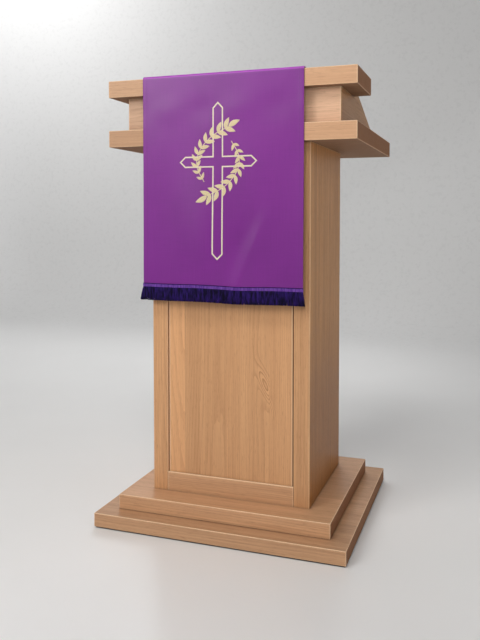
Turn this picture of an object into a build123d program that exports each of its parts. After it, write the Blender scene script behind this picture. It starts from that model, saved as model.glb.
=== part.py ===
from build123d import *
import os
from math import atan2, cos, degrees, sin

# A church pulpit in solid oak: a two-tier plinth, a framed column with an open back, and a desk
# made of a slab, a recessed neck, a front cap and a sloping reading board, with a cloth fall
# hung over the cap. Millimetres, +Z up, the front faces -Y, and the origin is on the floor at
# the centre of the whole object's box.

# Heights from the floor up
GLIDE_T = 3
PLINTH_LOWER_T = 35
PLINTH_UPPER_T = 38
COLUMN_H = 902
SLAB_T = 43
NECK_H = 86
CAP_T = 43

# Plan of the column and of the two plinth tiers round it
COLUMN_W = 424
COLUMN_D = 348
UPPER_TIER_STEP = 67
LOWER_TIER_STEP = 47

# Plan of the desk
SLAB_W = 656
SLAB_D = 542
SLAB_FRONT_OVERHANG = 20
NECK_SIDE_INSET = 44
NECK_FRONT_INSET = 27
CAP_D = 190

# Boards and joints
ARRIS = 1.5
COLUMN_BOARD_T = 22
NECK_BOARD_T = 20
STILE_W = 42
FRONT_RAIL_H = 50
PANEL_T = 9
PANEL_SETBACK = 6
PANEL_QUIRK_W = 2
PANEL_QUIRK_D = 3
GROOVE_DEPTH = 10
PANEL_PLAY = 2
BACK_RAIL_H = 60
CLEAT = 25
DOWEL_R = 4
DOWEL_L = 40
RAIL_DOWEL_L = 36
RAIL_DOWEL_IN_SIDE = 12
SCREW_R = 2.5
SCREW_HEAD_R = 4.5
SCREW_POINT_L = 6
PLINTH_SCREW_L = 60
CLEAT_SCREW_L = 50
GLIDE_R = 20
GLIDE_INSET = 45

# Where the dowels and screws stand: the desk's from the origin, the others' from the column
FRONT_DOWEL_XS = (-200, 0, 200)
NECK_SIDE_DOWEL_YS = (-100, 40, 180)
CAP_SIDE_DOWEL_YS = (-120, -70)
CLEAT_SCREW_YS = (-110, 110)
PLINTH_SCREW_XS = (-230, 0, 230)
PLINTH_SCREW_YS = (-190, 190)

# Reading board and its book stop
READ_T = 18
READ_DROP_AT_CAP = 8
READ_FOOT_INSET = 5
SIDE_NOSE_H = 8
STOP_T = 18
STOP_RISE = 18
READ_CLEAT = 20
READ_CLEAT_L = 200
READ_CLEAT_START = 14

# Loose shelf on four supports
SHELF_T = 20
SHELF_TOP_Z = 580
SHELF_SIDE_PLAY = 1
SHELF_FRONT_GAP = 3
SHELF_REAR_GAP = 6
SUPPORT_TAB = 14
SUPPORT_T = 2
SUPPORT_H = 16
SUPPORT_W = 12
SUPPORT_PLUG_R = 2.5
SUPPORT_PLUG_L = 10
SUPPORT_SPREAD = 220

# The cloth fall, hung a little to the left of the middle
FALL_X = -13
FALL_W = 427
FALL_T = 3
FALL_GAP = 0.5
FALL_BOTTOM_Z = 618
FRINGE_W = 438
FRINGE_X = -15
FRINGE_H = 38
BRAID_H = 10
BRAID_T = 1.5
HEM_D = 30
HEM_SKIN = 1.2
HEM_REAR_INSET = 4
BAR_W = 400
BAR_D = 25
BAR_T = 4

# Levels that follow
Z_LOWER = GLIDE_T
Z_UPPER = Z_LOWER + PLINTH_LOWER_T
Z_COLUMN = Z_UPPER + PLINTH_UPPER_T
Z_SLAB = Z_COLUMN + COLUMN_H
Z_NECK = Z_SLAB + SLAB_T
Z_CAP = Z_NECK + NECK_H
Z_TOP = Z_CAP + CAP_T

# Plan places that follow. The column stands forward of the origin, so that the plinth's front
# and the slab's rear are equally far from it.
PLINTH_FRONT_REACH = COLUMN_D / 2 + UPPER_TIER_STEP + LOWER_TIER_STEP
SLAB_REAR_REACH = SLAB_D - COLUMN_D / 2 - SLAB_FRONT_OVERHANG
COLUMN_Y = (PLINTH_FRONT_REACH - SLAB_REAR_REACH) / 2
COLUMN_FRONT = COLUMN_Y - COLUMN_D / 2
COLUMN_REAR = COLUMN_Y + COLUMN_D / 2
COLUMN_HALF = COLUMN_W / 2
INNER_HALF = COLUMN_HALF - COLUMN_BOARD_T
FRAME_BACK = COLUMN_FRONT + COLUMN_BOARD_T
BACK_RAIL_Y = COLUMN_REAR - COLUMN_BOARD_T
SLAB_FRONT = COLUMN_FRONT - SLAB_FRONT_OVERHANG
SLAB_REAR = SLAB_FRONT + SLAB_D
NECK_FRONT = SLAB_FRONT + NECK_FRONT_INSET
NECK_HALF = SLAB_W / 2 - NECK_SIDE_INSET
NECK_INNER_HALF = NECK_HALF - NECK_BOARD_T
CAP_REAR = SLAB_FRONT + CAP_D
STILE_INNER = COLUMN_HALF - STILE_W

# The reading slope, from the cap's rear face down to the slab
READ_TOP_Z = Z_TOP - READ_DROP_AT_CAP
READ_FOOT_Y = SLAB_REAR - READ_FOOT_INSET
READ_RUN = READ_FOOT_Y - CAP_REAR
READ_ANGLE = atan2(READ_TOP_Z - Z_NECK, READ_RUN)
READ_L = (READ_TOP_Z - Z_NECK - READ_T * cos(READ_ANGLE)) / sin(READ_ANGLE)

# Places of the fasteners, as (x, y)
NECK_FRONT_DOWEL_Y = NECK_FRONT + NECK_BOARD_T / 2
NECK_SIDE_DOWEL_X = NECK_HALF - NECK_BOARD_T / 2
FRONT_DOWELS = [(x, NECK_FRONT_DOWEL_Y) for x in FRONT_DOWEL_XS]
NECK_DOWELS = FRONT_DOWELS + [(x * NECK_SIDE_DOWEL_X, y) for x in (-1, 1) for y in NECK_SIDE_DOWEL_YS]
CAP_DOWELS = FRONT_DOWELS + [(x * NECK_SIDE_DOWEL_X, y) for x in (-1, 1) for y in CAP_SIDE_DOWEL_YS]
CLEAT_SCREW_X = INNER_HALF - CLEAT / 2
CLEAT_SCREWS = [(x * CLEAT_SCREW_X, COLUMN_Y + y) for x in (-1, 1) for y in CLEAT_SCREW_YS]
PLINTH_SCREWS = [(x, COLUMN_Y + y) for x in PLINTH_SCREW_XS for y in PLINTH_SCREW_YS]
RAIL_DOWEL_Y = COLUMN_REAR - COLUMN_BOARD_T / 2
RAIL_DOWEL_ZS = [
    base + offset
    for base in (Z_COLUMN, Z_SLAB - BACK_RAIL_H)
    for offset in (BACK_RAIL_H / 4, BACK_RAIL_H * 3 / 4)
]
SUPPORT_YS = [COLUMN_Y - SUPPORT_SPREAD / 2, COLUMN_Y + SUPPORT_SPREAD / 2]
SUPPORT_TOP_Z = SHELF_TOP_Z - SHELF_T


def save(builder, name):
    """Label a finished piece, write its STEP file and hand the piece back."""
    builder.part.label = name
    export_step(builder.part, f"parts/{name}.step")
    return builder.part


def block(x, y, z, arris=ARRIS):
    """A squared piece from its (low, high) spans in x, y and z, with its arrises eased."""
    with BuildPart() as piece:
        with BuildSketch(Plane.XY.offset(z[0])):
            with Locations(((x[0] + x[1]) / 2, (y[0] + y[1]) / 2)):
                Rectangle(x[1] - x[0], y[1] - y[0])
        extrude(amount=z[1] - z[0])
        if arris:
            fillet(piece.edges(), arris)
    return piece.part


def posts(spots, z_low, length=DOWEL_L, radius=DOWEL_R):
    """Upright round posts at (x, y) spots: dowels, or the holes that they fill."""
    with BuildPart() as group:
        with BuildSketch(Plane.XY.offset(z_low)):
            with Locations(*spots):
                Circle(radius)
        extrude(amount=length)
    return group.part


def wood_screw(length):
    """A countersunk screw that points along -Z, its head's flat at z = 0."""
    head_h = SCREW_HEAD_R - SCREW_R
    with BuildPart() as screw:
        with BuildSketch(Plane.XZ):
            with BuildLine():
                Polyline(
                    (0, 0),
                    (SCREW_HEAD_R, 0),
                    (SCREW_R, -head_h),
                    (SCREW_R, SCREW_POINT_L - length),
                    (0, -length),
                    close=True,
                )
            make_face()
        revolve(axis=Axis.Z)
    return screw.part


def screw_holes(spots, head_z, up, depth):
    """Countersunk clearance holes for screws whose heads lie at head_z."""
    direction = (0, 0, 1) if up else (0, 0, -1)
    for x, y in spots:
        with Locations(Plane(origin=(x, y, head_z), z_dir=direction)):
            CounterSinkHole(SCREW_R, SCREW_HEAD_R, depth, counter_sink_angle=90)


def mitred_side_outline(half, inner, front, rear):
    """Plan of a side board whose front edge is mitred at 45 degrees, its arris eased."""
    thick = half - inner
    return [
        (half, front + ARRIS),
        (half, rear),
        (inner, rear),
        (inner, front + thick),
        (half - ARRIS / 2, front + ARRIS / 2),
    ]


def mirrored(part, name):
    """The left-hand twin of a right-hand piece."""
    with BuildPart() as twin:
        mirror(part, about=Plane.YZ)
    return save(twin, name)


def make_plinth():
    tiers = (
        ("plinth_lower", UPPER_TIER_STEP + LOWER_TIER_STEP, Z_LOWER, Z_UPPER),
        ("plinth_upper", UPPER_TIER_STEP, Z_UPPER, Z_COLUMN),
    )
    for name, step, z_low, z_high in tiers:
        half = COLUMN_HALF + step
        reach = COLUMN_D / 2 + step
        body = block((-half, half), (COLUMN_Y - reach, COLUMN_Y + reach), (z_low, z_high))
        with BuildPart() as tier:
            add(body)
            if name == "plinth_lower":
                screw_holes(PLINTH_SCREWS, Z_LOWER, False, PLINTH_LOWER_T)
            else:
                add(posts(PLINTH_SCREWS, Z_LOWER, PLINTH_SCREW_L, SCREW_R), mode=Mode.SUBTRACT)
                cleat_screw_low = Z_COLUMN + CLEAT - CLEAT_SCREW_L
                add(posts(CLEAT_SCREWS, cleat_screw_low, CLEAT_SCREW_L, SCREW_R), mode=Mode.SUBTRACT)
        save(tier, name)

    glide_x = COLUMN_HALF + UPPER_TIER_STEP + LOWER_TIER_STEP - GLIDE_INSET
    glide_y = PLINTH_FRONT_REACH - GLIDE_INSET
    with BuildPart() as glides:
        with BuildSketch(Plane.XY):
            with Locations((0, COLUMN_Y)):
                with GridLocations(2 * glide_x, 2 * glide_y, 2, 2):
                    Circle(GLIDE_R)
        extrude(amount=GLIDE_T)
    save(glides, "plinth_glides")

    screw = wood_screw(PLINTH_SCREW_L)
    with BuildPart() as screws:
        for x, y in PLINTH_SCREWS:
            with Locations(Plane(origin=(x, y, Z_LOWER), z_dir=(0, 0, -1))):
                add(screw)
    save(screws, "plinth_screws")


def make_front_frame():
    groove_y = COLUMN_FRONT + PANEL_SETBACK
    with BuildPart() as stile:
        with BuildSketch(Plane.XY.offset(Z_COLUMN)):
            with BuildLine():
                Polyline(
                    (STILE_INNER, COLUMN_FRONT + ARRIS),
                    (STILE_INNER + ARRIS, COLUMN_FRONT),
                    (COLUMN_HALF - ARRIS, COLUMN_FRONT),
                    (COLUMN_HALF - ARRIS / 2, COLUMN_FRONT + ARRIS / 2),
                    (INNER_HALF, FRAME_BACK),
                    (STILE_INNER, FRAME_BACK),
                    (STILE_INNER, groove_y + PANEL_T),
                    (STILE_INNER + GROOVE_DEPTH, groove_y + PANEL_T),
                    (STILE_INNER + GROOVE_DEPTH, groove_y),
                    (STILE_INNER, groove_y),
                    close=True,
                )
            make_face()
        extrude(amount=COLUMN_H)
    right = save(stile, "stile_front_right")
    mirrored(right, "stile_front_left")

    for name, z_low, groove_up in (
        ("rail_front_bottom", Z_COLUMN, True),
        ("rail_front_top", Z_SLAB - FRONT_RAIL_H, False),
    ):
        z_high = z_low + FRONT_RAIL_H
        inner_z = z_high if groove_up else z_low
        inward = -1 if groove_up else 1
        with BuildPart() as rail:
            with BuildSketch(Plane.YZ):
                with BuildLine():
                    Polyline(
                        (COLUMN_FRONT, inner_z + inward * ARRIS),
                        (COLUMN_FRONT + ARRIS, inner_z),
                        (groove_y, inner_z),
                        (groove_y, inner_z + inward * GROOVE_DEPTH),
                        (groove_y + PANEL_T, inner_z + inward * GROOVE_DEPTH),
                        (groove_y + PANEL_T, inner_z),
                        (FRAME_BACK, inner_z),
                        (FRAME_BACK, z_low + z_high - inner_z),
                        (COLUMN_FRONT, z_low + z_high - inner_z),
                        close=True,
                    )
                make_face()
            extrude(amount=STILE_INNER, both=True)
            tenon_z = inner_z + inward * GROOVE_DEPTH
            foot_z = z_low + z_high - inner_z
            with BuildSketch(Plane.XY.offset(min(tenon_z, foot_z))):
                with Locations((0, groove_y + PANEL_T / 2)):
                    Rectangle(2 * (STILE_INNER + GROOVE_DEPTH), PANEL_T)
            extrude(amount=FRONT_RAIL_H - GROOVE_DEPTH)
        save(rail, name)

    panel_half = STILE_INNER + GROOVE_DEPTH - PANEL_PLAY
    panel_low = Z_COLUMN + FRONT_RAIL_H - GROOVE_DEPTH
    panel_high = Z_SLAB - FRONT_RAIL_H + GROOVE_DEPTH - PANEL_PLAY
    with BuildPart() as panel:
        with BuildSketch(Plane.XY.offset(panel_low)):
            with Locations((0, groove_y + PANEL_T / 2)):
                Rectangle(2 * panel_half, PANEL_T)
        extrude(amount=panel_high - panel_low)
        # A shadow line down each stile
        with BuildSketch(Plane.XY.offset(Z_COLUMN + FRONT_RAIL_H)):
            for side in (-1, 1):
                with Locations((side * (STILE_INNER - PANEL_QUIRK_W / 2), groove_y + PANEL_QUIRK_D / 2)):
                    Rectangle(PANEL_QUIRK_W, PANEL_QUIRK_D)
        extrude(amount=COLUMN_H - 2 * FRONT_RAIL_H, mode=Mode.SUBTRACT)
    save(panel, "panel_front")


def make_column_sides():
    outline = mitred_side_outline(COLUMN_HALF, INNER_HALF, COLUMN_FRONT, COLUMN_REAR)
    with BuildPart() as side:
        with BuildSketch(Plane.XY.offset(Z_COLUMN)):
            with BuildLine():
                Polyline(*outline, close=True)
            make_face()
        extrude(amount=COLUMN_H)
        rear_edges = side.edges().filter_by(Axis.Z).group_by(Axis.Y)[-1]
        fillet(rear_edges, ARRIS)
        with BuildSketch(Plane.YZ.offset(INNER_HALF)):
            with Locations(*[(RAIL_DOWEL_Y, z) for z in RAIL_DOWEL_ZS]):
                Circle(DOWEL_R)
        extrude(amount=RAIL_DOWEL_IN_SIDE, mode=Mode.SUBTRACT)
        with BuildSketch(Plane.YZ.offset(INNER_HALF)):
            with Locations(*[(y, SUPPORT_TOP_Z - SUPPORT_H / 2) for y in SUPPORT_YS]):
                Circle(SUPPORT_PLUG_R)
        extrude(amount=SUPPORT_PLUG_L, mode=Mode.SUBTRACT)
    right = save(side, "side_panel_right")
    mirrored(right, "side_panel_left")


def make_back_rails():
    for name, z_low in (("rail_back_bottom", Z_COLUMN), ("rail_back_top", Z_SLAB - BACK_RAIL_H)):
        z_high = z_low + BACK_RAIL_H
        with BuildPart() as rail:
            with BuildSketch(Plane.YZ):
                with Locations(((BACK_RAIL_Y + COLUMN_REAR) / 2, (z_low + z_high) / 2)):
                    Rectangle(COLUMN_BOARD_T, BACK_RAIL_H)
            extrude(amount=INNER_HALF, both=True)
            free_z = z_high if name == "rail_back_bottom" else z_low
            long_edges = rail.edges().filter_by(Axis.X).group_by(Axis.Z)
            fillet(long_edges[-1] if free_z == z_high else long_edges[0], ARRIS)
            for end in (-1, 1):
                with BuildSketch(Plane.YZ.offset(end * INNER_HALF)):
                    with Locations(*[(RAIL_DOWEL_Y, z) for z in RAIL_DOWEL_ZS if z_low < z < z_high]):
                        Circle(DOWEL_R)
                extrude(amount=-end * (RAIL_DOWEL_L - RAIL_DOWEL_IN_SIDE), mode=Mode.SUBTRACT)
        save(rail, name)

    with BuildPart() as dowels:
        with BuildSketch(Plane.YZ.offset(INNER_HALF + RAIL_DOWEL_IN_SIDE)):
            with Locations(*[(RAIL_DOWEL_Y, z) for z in RAIL_DOWEL_ZS]):
                Circle(DOWEL_R)
        extrude(amount=-RAIL_DOWEL_L)
        mirror(about=Plane.YZ)
    save(dowels, "rail_dowels")


def make_cleats():
    spans = (("bottom", Z_COLUMN), ("top", Z_SLAB - CLEAT))
    for level, z_low in spans:
        body = block((INNER_HALF - CLEAT, INNER_HALF), (FRAME_BACK, BACK_RAIL_Y), (z_low, z_low + CLEAT), 0)
        right_spots = [spot for spot in CLEAT_SCREWS if spot[0] > 0]
        with BuildPart() as cleat:
            add(body)
            up = level == "bottom"
            screw_holes(right_spots, z_low + CLEAT if up else z_low, up, CLEAT)
        right = save(cleat, f"cleat_{level}_right")
        mirrored(right, f"cleat_{level}_left")

    screw = wood_screw(CLEAT_SCREW_L)
    with BuildPart() as screws:
        for x, y in CLEAT_SCREWS:
            with Locations(Plane(origin=(x, y, Z_COLUMN + CLEAT))):
                add(screw)
            with Locations(Plane(origin=(x, y, Z_SLAB - CLEAT), z_dir=(0, 0, -1))):
                add(screw)
    save(screws, "cleat_screws")


def make_shelf():
    half = INNER_HALF - SHELF_SIDE_PLAY
    with BuildPart() as shelf:
        add(block(
            (-half, half),
            (FRAME_BACK + SHELF_FRONT_GAP, COLUMN_REAR - SHELF_REAR_GAP),
            (SUPPORT_TOP_Z, SHELF_TOP_Z),
        ))
    save(shelf, "shelf")

    with BuildPart() as supports:
        for y in SUPPORT_YS:
            with BuildSketch(Plane.XZ.offset(-y - SUPPORT_W / 2)):
                with BuildLine():
                    Polyline(
                        (INNER_HALF, SUPPORT_TOP_Z),
                        (INNER_HALF - SUPPORT_TAB, SUPPORT_TOP_Z),
                        (INNER_HALF - SUPPORT_TAB, SUPPORT_TOP_Z - SUPPORT_T),
                        (INNER_HALF - SUPPORT_T, SUPPORT_TOP_Z - SUPPORT_T),
                        (INNER_HALF - SUPPORT_T, SUPPORT_TOP_Z - SUPPORT_H),
                        (INNER_HALF, SUPPORT_TOP_Z - SUPPORT_H),
                        close=True,
                    )
                make_face()
            extrude(amount=SUPPORT_W)
        with BuildSketch(Plane.YZ.offset(INNER_HALF)):
            with Locations(*[(y, SUPPORT_TOP_Z - SUPPORT_H / 2) for y in SUPPORT_YS]):
                Circle(SUPPORT_PLUG_R)
        extrude(amount=SUPPORT_PLUG_L)
        mirror(about=Plane.YZ)
    save(supports, "shelf_supports")


def make_slab_and_cap():
    half = SLAB_W / 2
    neck_dowels = posts(NECK_DOWELS, Z_NECK - DOWEL_L / 2)
    cap_dowels = posts(CAP_DOWELS, Z_CAP - DOWEL_L / 2)
    with BuildPart() as slab:
        add(block((-half, half), (SLAB_FRONT, SLAB_REAR), (Z_SLAB, Z_NECK)))
        add(neck_dowels, mode=Mode.SUBTRACT)
        add(posts(CLEAT_SCREWS, Z_SLAB - CLEAT, CLEAT_SCREW_L, SCREW_R), mode=Mode.SUBTRACT)
    save(slab, "desk_slab")

    with BuildPart() as cap:
        add(block((-half, half), (SLAB_FRONT, CAP_REAR), (Z_CAP, Z_TOP)))
        add(cap_dowels, mode=Mode.SUBTRACT)
    save(cap, "cap")

    for name, group in (("neck_dowels", neck_dowels), ("cap_dowels", cap_dowels)):
        with BuildPart() as dowels:
            add(group)
        save(dowels, name)


def slope_point(along, above):
    """(y, z) of a point on the reading slope: along it from the cap, and above its surface."""
    y = CAP_REAR + along * cos(READ_ANGLE) + above * sin(READ_ANGLE)
    z = READ_TOP_Z - along * sin(READ_ANGLE) + above * cos(READ_ANGLE)
    return (y, z)


def make_neck():
    back = NECK_FRONT + NECK_BOARD_T
    with BuildPart() as front:
        with BuildSketch(Plane.XY.offset(Z_NECK)):
            with BuildLine():
                Polyline(
                    (NECK_HALF - ARRIS, NECK_FRONT),
                    (NECK_HALF - ARRIS / 2, NECK_FRONT + ARRIS / 2),
                    (NECK_INNER_HALF, back),
                    (-NECK_INNER_HALF, back),
                    (ARRIS / 2 - NECK_HALF, NECK_FRONT + ARRIS / 2),
                    (ARRIS - NECK_HALF, NECK_FRONT),
                    close=True,
                )
            make_face()
        extrude(amount=NECK_H)
        for level in (Z_NECK, Z_CAP):
            add(posts(FRONT_DOWELS, level - DOWEL_L / 2), mode=Mode.SUBTRACT)
    save(front, "neck_front")

    nose_y = CAP_REAR + (READ_TOP_Z - Z_NECK - SIDE_NOSE_H) * READ_RUN / (READ_TOP_Z - Z_NECK)
    outline = mitred_side_outline(NECK_HALF, NECK_INNER_HALF, NECK_FRONT, nose_y)
    with BuildPart() as side:
        with BuildSketch(Plane.XY.offset(Z_NECK)):
            with BuildLine():
                Polyline(*outline, close=True)
            make_face()
        extrude(amount=READ_TOP_Z - Z_NECK)
        with BuildSketch(Plane.YZ):
            with BuildLine():
                Polyline(
                    (NECK_FRONT, Z_NECK),
                    (nose_y, Z_NECK),
                    (nose_y, Z_NECK + SIDE_NOSE_H),
                    (CAP_REAR, READ_TOP_Z),
                    (CAP_REAR, Z_CAP),
                    (NECK_FRONT, Z_CAP),
                    close=True,
                )
            make_face()
        extrude(amount=NECK_HALF, mode=Mode.INTERSECT)
        for spots, level in ((NECK_DOWELS, Z_NECK), (CAP_DOWELS, Z_CAP)):
            right_spots = [spot for spot in spots if spot[0] > NECK_INNER_HALF]
            add(posts(right_spots, level - DOWEL_L / 2), mode=Mode.SUBTRACT)
    right = save(side, "neck_side_right")
    mirrored(right, "neck_side_left")


def make_reading_board():
    bevel = READ_T * sin(READ_ANGLE) / cos(READ_ANGLE)
    with BuildPart() as board:
        with BuildSketch(Plane.YZ):
            with BuildLine():
                Polyline(
                    slope_point(0, 0),
                    slope_point(READ_L, 0),
                    slope_point(READ_L, -READ_T),
                    slope_point(bevel, -READ_T),
                    close=True,
                )
            make_face()
        extrude(amount=NECK_INNER_HALF, both=True)
    save(board, "reading_board")

    stop_rear_foot = (READ_L + STOP_T, (Z_NECK - slope_point(READ_L + STOP_T, 0)[1]) / cos(READ_ANGLE))
    with BuildPart() as stop:
        with BuildSketch(Plane.YZ):
            with BuildLine():
                Polyline(
                    slope_point(READ_L, -READ_T),
                    slope_point(READ_L, STOP_RISE),
                    slope_point(READ_L + STOP_T, STOP_RISE),
                    slope_point(*stop_rear_foot),
                    close=True,
                )
            make_face()
        extrude(amount=NECK_INNER_HALF, both=True)
        top_edges = stop.edges().filter_by(Axis.X).sort_by(Axis.Z)[-2:]
        fillet(top_edges, STOP_T / 4)
    save(stop, "book_stop")

    with BuildPart() as cleat:
        with BuildSketch(Plane.YZ.offset(NECK_INNER_HALF - READ_CLEAT)):
            with BuildLine():
                Polyline(
                    slope_point(READ_CLEAT_START, -READ_T),
                    slope_point(READ_CLEAT_START + READ_CLEAT_L, -READ_T),
                    slope_point(READ_CLEAT_START + READ_CLEAT_L, -READ_T - READ_CLEAT),
                    slope_point(READ_CLEAT_START, -READ_T - READ_CLEAT),
                    close=True,
                )
            make_face()
        extrude(amount=READ_CLEAT)
    right = save(cleat, "reading_cleat_right")
    mirrored(right, "reading_cleat_left")


def make_fall():
    left = FALL_X - FALL_W / 2
    right = FALL_X + FALL_W / 2
    drop_back = SLAB_FRONT - FALL_GAP
    drop_front = drop_back - FALL_T
    under = Z_TOP + FALL_GAP
    over = under + FALL_T
    hem_rear = CAP_REAR - HEM_REAR_INSET
    hem_front = hem_rear - HEM_D
    hem_top = under + BAR_T + 2 * HEM_SKIN
    fringe_half = FRINGE_W / 2
    fringe_y = (drop_front - BRAID_T / 2, drop_back)

    plain_pieces = (
        ("fall_drop", (left, right), (drop_front, drop_back), (FALL_BOTTOM_Z, over)),
        ("fall_top", (left, right), (drop_back, hem_front), (under, over)),
        ("fall_braid", (left, right), (drop_front - BRAID_T, drop_front),
         (FALL_BOTTOM_Z, FALL_BOTTOM_Z + BRAID_H)),
        ("fall_fringe", (FRINGE_X - fringe_half, FRINGE_X + fringe_half), fringe_y,
         (FALL_BOTTOM_Z - FRINGE_H, FALL_BOTTOM_Z)),
    )
    for name, x, y, z in plain_pieces:
        with BuildPart() as piece:
            add(block(x, y, z, 0))
        save(piece, name)

    bar_x = (FALL_X - BAR_W / 2, FALL_X + BAR_W / 2)
    bar_middle = (hem_front + hem_rear) / 2
    bar_y = (bar_middle - BAR_D / 2, bar_middle + BAR_D / 2)
    bar_z = (under + HEM_SKIN, hem_top - HEM_SKIN)
    bar = block(bar_x, bar_y, bar_z, 0)
    with BuildPart() as hem:
        add(block((left, right), (hem_front, hem_rear), (under, hem_top), 0))
        add(bar, mode=Mode.SUBTRACT)
    save(hem, "fall_hem")
    with BuildPart() as weight_bar:
        add(bar)
    save(weight_bar, "fall_weight_bar")


os.makedirs("parts", exist_ok=True)
make_plinth()
make_front_frame()
make_column_sides()
make_back_rails()
make_cleats()
make_shelf()
make_slab_and_cap()
make_neck()
make_reading_board()
make_fall()
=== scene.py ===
"""The looks of the wooden pulpit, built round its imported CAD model.

Lengths are metres and angles are degrees in the tables below. +Z is up, and the front faces -Y.
"""
import math
import random

import bpy
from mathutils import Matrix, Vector


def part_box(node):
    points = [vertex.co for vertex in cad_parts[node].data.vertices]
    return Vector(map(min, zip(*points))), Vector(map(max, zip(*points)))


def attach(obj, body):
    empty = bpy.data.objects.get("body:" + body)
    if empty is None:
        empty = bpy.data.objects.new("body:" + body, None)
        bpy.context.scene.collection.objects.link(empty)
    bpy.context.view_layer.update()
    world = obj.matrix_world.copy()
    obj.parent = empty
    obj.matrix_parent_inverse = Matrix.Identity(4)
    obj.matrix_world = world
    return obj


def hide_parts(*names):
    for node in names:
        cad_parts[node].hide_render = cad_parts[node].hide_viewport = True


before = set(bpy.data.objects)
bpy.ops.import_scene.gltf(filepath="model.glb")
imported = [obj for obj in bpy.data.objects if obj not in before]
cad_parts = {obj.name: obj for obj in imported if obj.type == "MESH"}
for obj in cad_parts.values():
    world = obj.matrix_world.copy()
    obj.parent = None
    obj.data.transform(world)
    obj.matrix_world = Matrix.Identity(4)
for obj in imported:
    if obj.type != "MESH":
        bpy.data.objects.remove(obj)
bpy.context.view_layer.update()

MM = 0.001


# ---------------------------------------------------------------------------------------------
# Node helper
# ---------------------------------------------------------------------------------------------
class Tree:
    """A short way to build a material's nodes. Each call adds a node and returns an output."""

    def __init__(self, name):
        self.material = bpy.data.materials.new(name)
        self.material.use_nodes = True
        self.nodes = self.material.node_tree.nodes
        self.links = self.material.node_tree.links
        self.shader = self.nodes["Principled BSDF"]

    def put(self, socket, value):
        if isinstance(value, bpy.types.NodeSocket):
            self.links.new(value, socket)
        else:
            socket.default_value = value

    def add(self, kind, inputs, out=0, **settings):
        made = self.nodes.new(kind)
        for key, value in settings.items():
            setattr(made, key, value)
        for key, value in inputs.items():
            self.put(made.inputs[key], value)
        return made.outputs[out]

    def object_xyz(self):
        place = self.add("ShaderNodeTexCoord", {}, out="Object")
        parts = self.add("ShaderNodeSeparateXYZ", {0: place}).node
        return parts.outputs[0], parts.outputs[1], parts.outputs[2]

    def math(self, operation, a, b=0.0, c=0.0):
        return self.add("ShaderNodeMath", {0: a, 1: b, 2: c}, operation=operation)

    def times(self, a, b):
        return self.math("MULTIPLY", a, b)

    def plus(self, a, b):
        return self.math("ADD", a, b)

    def vector(self, x, y, z):
        return self.add("ShaderNodeCombineXYZ", {0: x, 1: y, 2: z})

    def noise(self, vector, scale=1.0, detail=2.0, rough=0.5):
        inputs = {"Vector": vector, "Scale": scale, "Detail": detail, "Roughness": rough}
        return self.add("ShaderNodeTexNoise", inputs)

    def spread(self, value, low, high, to_low=0.0, to_high=1.0):
        inputs = {0: value, 1: low, 2: high, 3: to_low, 4: to_high}
        return self.add("ShaderNodeMapRange", inputs, interpolation_type="SMOOTHSTEP")

    def mix(self, share, a, b, blend="MIX"):
        inputs = {0: share, 6: a, 7: b}
        return self.add("ShaderNodeMix", inputs, out=2, data_type="RGBA", blend_type=blend)

    def minus(self, a, b):
        return self.math("SUBTRACT", a, b)

    def distance(self, a, b):
        return self.math("ABSOLUTE", self.minus(a, b))

    def unit(self, value):
        """value, held between 0 and 1."""
        return self.math("MINIMUM", self.math("MAXIMUM", value, 0.0), 1.0)

    def bump(self, height, distance, strength):
        return self.add("ShaderNodeBump", {"Height": height, "Distance": distance, "Strength": strength})

    def finish(self, **sockets):
        for name, value in sockets.items():
            self.put(self.shader.inputs[name.replace("_", " ")], value)
        return self.material


def grey(value):
    return (value, value, value, 1.0)


# ---------------------------------------------------------------------------------------------
# Materials
# ---------------------------------------------------------------------------------------------
OAK_LIGHT = (0.715, 0.395, 0.196, 1.0)
OAK_DARK = (0.462, 0.224, 0.099, 1.0)
OAK_PORE = (0.270, 0.118, 0.048, 1.0)
# Pale arris colour: partly wearing, partly a painted highlight
OAK_ARRIS_WEAR_AND_HIGHLIGHT = (0.960, 0.690, 0.450, 1.0)
OAK_END = (0.262, 0.096, 0.036, 1.0)
OAK_SHADOW = (0.090, 0.040, 0.016, 1.0)
# Painted shade, multiplied over the foot of the side boards
OAK_FOOT_SHADE = (0.66, 0.56, 0.36, 1.0)
RING = 2.7 * MM  # one year's growth
ARRIS_REACH = 4.5 * MM
QUIRK_EDGE = 168 * MM  # where the panel's face ends at the groove beside each stile
EDGE_HIGHLIGHT_WIDTH = 2.6 * MM
GROOVE_SHADOW_AT, GROOVE_SHADOW_HALF = 168.4 * MM, 2.2 * MM  # the painted shadow line in the groove beside the right stile, and half its width
EDGE_HIGHLIGHT_SHIFT = 2.4 * MM  # the painted highlight line on the panel stands this much further in on the right, beside the painted shadow line
FOOT_SHADE_FULL, FOOT_SHADE_FROM = 0.28, 0.60  # heights between which the painted shade at the foot of the side boards fades out
LIGHT_RAMP_FROM, LIGHT_RAMP_TO = -0.30, 0.20  # painted light: a board is painted paler towards +X between these places along its fibres


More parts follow.
